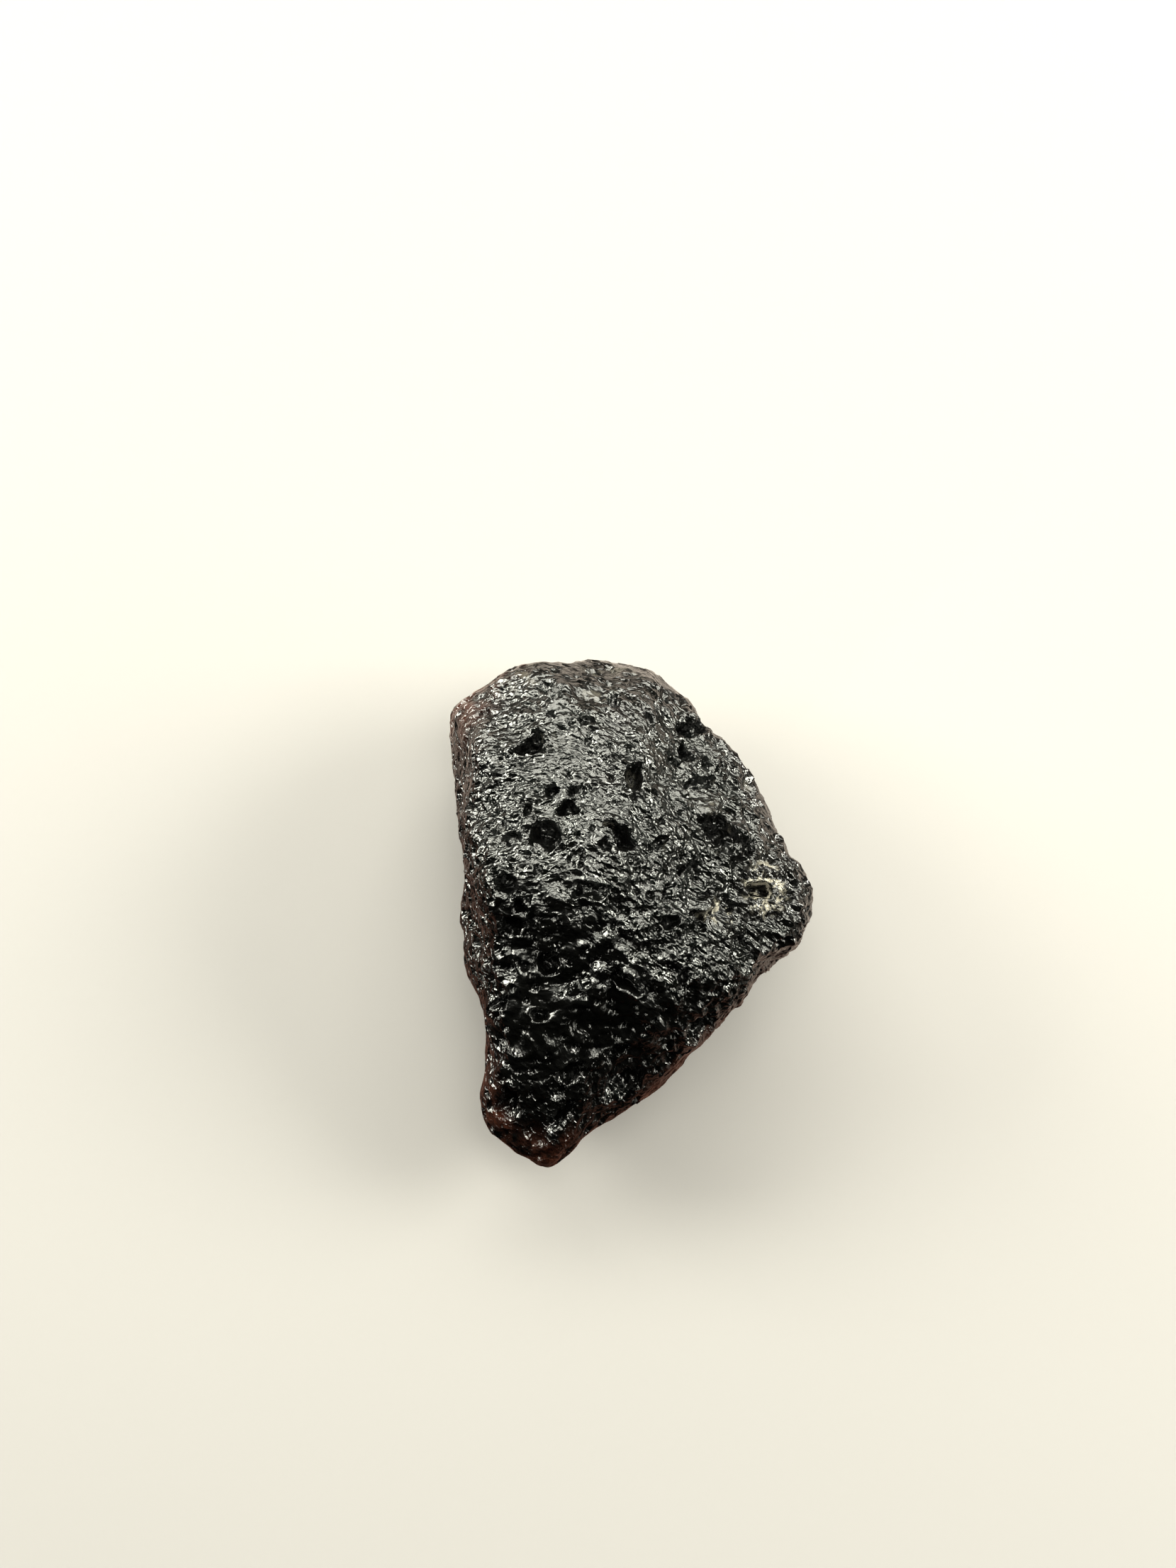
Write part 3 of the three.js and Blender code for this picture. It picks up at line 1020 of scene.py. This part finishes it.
@dataclass(frozen=True)
class BlackGlass:
    """Glossy black natural glass, brown where it is thin and as painted reflection, with dust in
    a few pits.

    Attributes:
        deep: colour of the thick glass.
        brown: colour of the thin glass, also painted there as a warm reflection.
        dust: colour of the dust.
        gloss: lowest and highest roughness, in soft patches.
        bowl_depth: depth of the fine bowls in mm.
        line_depth: depth of the fine lines in mm.
        bend: refractive index.
    """

    deep: Colour = (0.0012, 0.0012, 0.0011, 1.0)
    brown: Colour = (0.026, 0.0085, 0.005, 1.0)
    dust: Colour = (0.33, 0.305, 0.25, 1.0)
    gloss: Pair = (0.06, 0.26)
    bowl_depth: float = 0.080
    line_depth: float = 0.064
    bend: float = 1.5

    def material(self) -> Material:
        """Builds the material from Object coordinates turned to millimetres."""
        material, nodes = new_material("black natural glass")
        metres = nodes.add("TexCoord").outputs["Object"]
        per_metre = (1.0 / MM,) * 3
        place = nodes.add("Mapping", {"Vector": metres, "Scale": per_metre}).outputs[0]
        marked = nodes.add("Attribute", attribute_name="calm", attribute_type="GEOMETRY")
        calm = marked.outputs["Fac"]

        values = {"Place mm": place}
        flow = nodes.add("Group", values, node_tree=flow_group()).outputs
        thin = nodes.add("Group", values, node_tree=thin_edge_and_reflection_group()).outputs["Mask"]
        values["Pit"] = calm
        dust = nodes.add("Group", values, node_tree=dust_group()).outputs["Mask"]

        dull = nodes.ramp(nodes.noise(place, (2.2, 4.0, 0.6)), 0.35, 0.65)
        # Painted reflection: the brown at the thin sides is partly a warm reflection painted into
        # the colour.
        tint = nodes.mix(thin, self.deep, self.brown, "RGBA")
        bowls = nodes.math("MULTIPLY", flow["Bowls"], self.bowl_depth * MM)
        lines = nodes.math("MULTIPLY", flow["Lines"], self.line_depth * MM)
        height = nodes.math("ADD", bowls, lines)
        bump = nodes.add("Bump", {"Strength": 1.0, "Distance": 1.0, "Height": height}).outputs[0]
        plain = nodes.add("NewGeometry").outputs["Normal"]
        values = {
            "IOR": self.bend,
            "Roughness": nodes.mix(dull, *self.gloss),
            "Base Color": nodes.mix(dust, tint, self.dust, "RGBA"),
            "Normal": nodes.mix(calm, bump, plain, "VECTOR"),
        }
        nodes.fill(nodes.tree.nodes["Principled BSDF"], values)
        return material


# ---- the studio


@dataclass(frozen=True)
class Softbox:
    """One rectangular light that faces the stone, its place and size in metres.

    Attributes:
        strength: its brightness, where 1 is white paper.
        card: it is only mirrored by the glass, and lights no floor.
    """

    name: str
    place: Point
    size: Pair
    strength: float
    tint: Point = (1.0, 0.995, 0.87)
    card: bool = False

    def build(self, aim: Vector) -> None:
        """Makes the light, facing the aim; its watts are strength x pi x area."""
        light = bpy.data.lights.new(self.name, "AREA")
        light.shape = "RECTANGLE"
        light.size, light.size_y = self.size
        light.color = self.tint
        light.energy = self.strength * math.pi * self.size[0] * self.size[1]
        box = show(self.name, light)
        box.location = self.place
        box.rotation_euler = (aim - Vector(self.place)).to_track_quat("-Z", "Y").to_euler()
        box.visible_camera = False
        box.visible_diffuse = not self.card


SOFTBOXES = (
    Softbox("key softbox", (-0.010, 0.102, 0.095), (0.150, 0.042), 16.0),
    Softbox("top softbox", (0.018, 0.032, 0.150), (0.085, 0.046), 11.4),
    Softbox("left key softbox", (-0.098, 0.046, 0.056), (0.056, 0.045), 26.5),
    Softbox("right key softbox", (0.105, 0.030, 0.068), (0.060, 0.055), 30.0),
    Softbox("front high strip", (0.0, 0.010, 0.140), (0.22, 0.020), 2.6),
    Softbox("back high strip", (0.0, 0.060, 0.140), (0.22, 0.020), 3.6),
    Softbox("back strip", (0.0, 0.130, 0.050), (0.30, 0.030), 6.8),
    Softbox("near back card", (0.0, 0.034, 0.018), (0.09, 0.012), 7.5, card=True),
    Softbox("left strip", (-0.115, 0.060, 0.085), (0.12, 0.040), 4.6),
    Softbox("low left card", (-0.078, 0.042, 0.021), (0.050, 0.028), 24.5, card=True),
    Softbox("far left card", (-0.086, -0.006, 0.016), (0.050, 0.026), 6.0, card=True),
    Softbox("right strip", (0.130, 0.020, 0.070), (0.18, 0.040), 6.0),
    Softbox("low front card", (0.075, -0.045, 0.020), (0.04, 0.020), 1.8, card=True),
)


@dataclass(frozen=True)
class PaintedFloorReflection:
    """A glowing card that the glass alone mirrors, a painted floor reflection: pale behind, warm
    in front.

    Behind is a ring: dark close to the stone as painted shade, where the stone would shade
    it, brightest 8 to 9 mm off, and faint from 18 mm on. In front is a faint glow, a painted
    warm reflection, that ends 13 mm off.

    Attributes:
        height: its height above the floor in metres, as all its distances.
        back: its colour behind.
        front: its colour in front.
        turn: where it starts to turn from front to back, and has turned.
        lean: weight of the distance to the right, and to the left, in that turn.
        ring: distances from the middle where the ring starts and is full; inside it lies the
            painted shade.
        fade: distances where it starts to fade and has faded.
        strength: brightness of the full ring, and how much of it fades.
        glow: distances where the front glow starts to fade and ends.
        glow_strength: brightness of the front glow.
    """

    height: float = 0.00001
    back: Colour = (0.94, 0.81, 0.66, 1.0)
    front: Colour = (0.36, 0.17, 0.115, 1.0)
    turn: Pair = (-0.006, 0.007)
    lean: Pair = (0.8, 0.4)
    ring: Pair = (0.002, 0.008)
    fade: Pair = (0.009, 0.018)
    strength: Pair = (1.55, 1.3)
    glow: Pair = (0.006, 0.013)
    glow_strength: float = 0.6

    def material(self) -> Material:
        """Builds the card's glow, a painted floor reflection with painted shade, from Object
        coordinates.
        """
        material, nodes = new_material("painted floor reflection card")
        nodes.tree.nodes.remove(nodes.tree.nodes["Principled BSDF"])
        place = nodes.add("TexCoord").outputs["Object"]
        away = nodes.vector("LENGTH", place, (0.0, 0.0, 0.0), 1)
        axes = nodes.add("SeparateXYZ", {0: place}).outputs
        slant = axes["Y"]
        for side, lean in zip(("MAXIMUM", "MINIMUM"), self.lean):
            across = nodes.math("MULTIPLY", nodes.math(side, axes["X"], 0.0), lean)
            slant = nodes.math("ADD", slant, across)
        # Pale behind and warm in front: both are painted reflections of the floor.
        back = nodes.ramp(slant, *self.turn)
        full, faded = self.strength
        fall = nodes.math("MULTIPLY", nodes.ramp(away, *self.fade), faded)
        left = nodes.math("SUBTRACT", full, fall)
        # Painted shade: the ring is dark close round the stone, where the stone would shade the
        # floor.
        ring = nodes.math("MULTIPLY", nodes.ramp(away, *self.ring), left)
        near = nodes.math("SUBTRACT", 1.0, nodes.ramp(away, *self.glow))
        glow = nodes.math("MULTIPLY", near, self.glow_strength)
        colour = nodes.mix(back, self.front, self.back, "RGBA")
        values = {"Color": colour, "Strength": nodes.mix(back, glow, ring)}
        shine = nodes.add("Emission", values).outputs[0]
        nodes.fill(nodes.tree.nodes["Material Output"], {"Surface": shine})
        return material


@dataclass(frozen=True)
class Studio:
    """A pale floor, soft lights, a dim room, and the camera straight above.

    Attributes:
        floor_half: half the floor's width in metres.
        card: the painted floor reflection that the glass mirrors in place of the floor.
        room: brightness of the room that the stone mirrors.
        backdrop: brightness of the backdrop that the camera sees.
        lens: focal length in mm.
        sensor: the sensor's width in mm.
        frame_height: height of the view at the stone, in mm.
        aim: the point that the camera looks at, in mm.
    """

    floor_half: float = 0.6
    floor_colour: Colour = (0.24, 0.23, 0.225, 1.0)
    floor_roughness: float = 0.85
    card: PaintedFloorReflection = PaintedFloorReflection()
    room: float = 0.008
    room_colour: Colour = (1.0, 0.98, 0.95, 1.0)
    backdrop: float = 0.75
    backdrop_colour: Colour = (1.0, 0.98, 0.96, 1.0)
    lens: float = 100.0
    sensor: float = 36.0
    frame_height: float = 39.5
    aim: Point = (-0.902, 3.018, 3.0)

    def sheet(self, name: str, height: float, material: Material) -> Object:
        """A square sheet that lies level.

        Args:
            name: its name.
            height: its height in metres.
            material: its finish.

        Returns:
            The sheet's object.
        """
        mesh = bpy.data.meshes.new(name)
        sides = ((-1, -1), (1, -1), (1, 1), (-1, 1))
        corners = [(x * self.floor_half, y * self.floor_half, height) for x, y in sides]
        mesh.from_pydata(corners, [], [(0, 1, 2, 3)])
        mesh.materials.append(material)
        sheet = show(name, mesh)
        return sheet

    def floor(self) -> None:
        """Makes the pale floor that the stone lies on."""
        material, nodes = new_material("pale floor")
        values = {"Base Color": self.floor_colour, "Roughness": self.floor_roughness}
        nodes.fill(nodes.tree.nodes["Principled BSDF"], values)
        self.sheet("floor", 0.0, material).visible_glossy = False

    def lay_painted_floor_reflection(self) -> None:
        """Lays the glowing card that the glass alone mirrors, a painted floor reflection."""
        card = self.sheet("painted_floor_reflection_card", self.card.height, self.card.material())
        card.visible_camera = False
        card.visible_diffuse = False
        card.visible_shadow = False

    def world(self) -> None:
        """Makes a dim room that the camera alone sees as a pale backdrop."""
        world = bpy.data.worlds.new("room")
        bpy.context.scene.world = world
        world.use_nodes = True
        nodes = Nodes(world.node_tree)
        dim = nodes.tree.nodes["Background"]
        nodes.fill(dim, {"Color": self.room_colour, "Strength": self.room})
        pale = nodes.add("Background", {"Color": self.backdrop_colour, "Strength": self.backdrop})
        seen = nodes.add("LightPath").outputs["Is Camera Ray"]
        either = nodes.add("MixShader", {0: seen, 1: dim.outputs[0], 2: pale.outputs[0]})
        nodes.fill(nodes.tree.nodes["World Output"], {"Surface": either.outputs[0]})

    def camera(self) -> None:
        """Sets the camera straight above, as far off as its lens needs for the frame."""
        data = bpy.data.cameras.new("camera")
        data.lens = self.lens
        data.sensor_width = self.sensor
        data.clip_start = 0.001
        data.clip_end = 10.0
        camera = show("camera", data)
        bpy.context.scene.camera = camera
        x, y, z = self.aim
        distance = self.frame_height * self.lens / self.sensor
        camera.location = (x * MM, y * MM, (z + distance) * MM)

    def build(self) -> None:
        """Builds the whole studio."""
        self.floor()
        self.lay_painted_floor_reflection()
        aim = Vector((0.0, 0.0, self.aim[2] * MM))
        for softbox in SOFTBOXES:
            softbox.build(aim)
        self.world()
        self.camera()
        bpy.context.scene.view_settings.view_transform = "Standard"


def main() -> None:
    """Builds the stone and the studio, and reports each piece."""
    logging.basicConfig(level=logging.INFO, format="%(name)s: %(message)s")
    stone = Stone().build(BlackGlass().material())
    LOG.info("%s: %d triangles", stone.name, len(stone.data.polygons))
    Studio().build()
    LOG.info("studio: floor, %d softboxes, room and camera", len(SOFTBOXES))


if __name__ == "__main__":
    main()
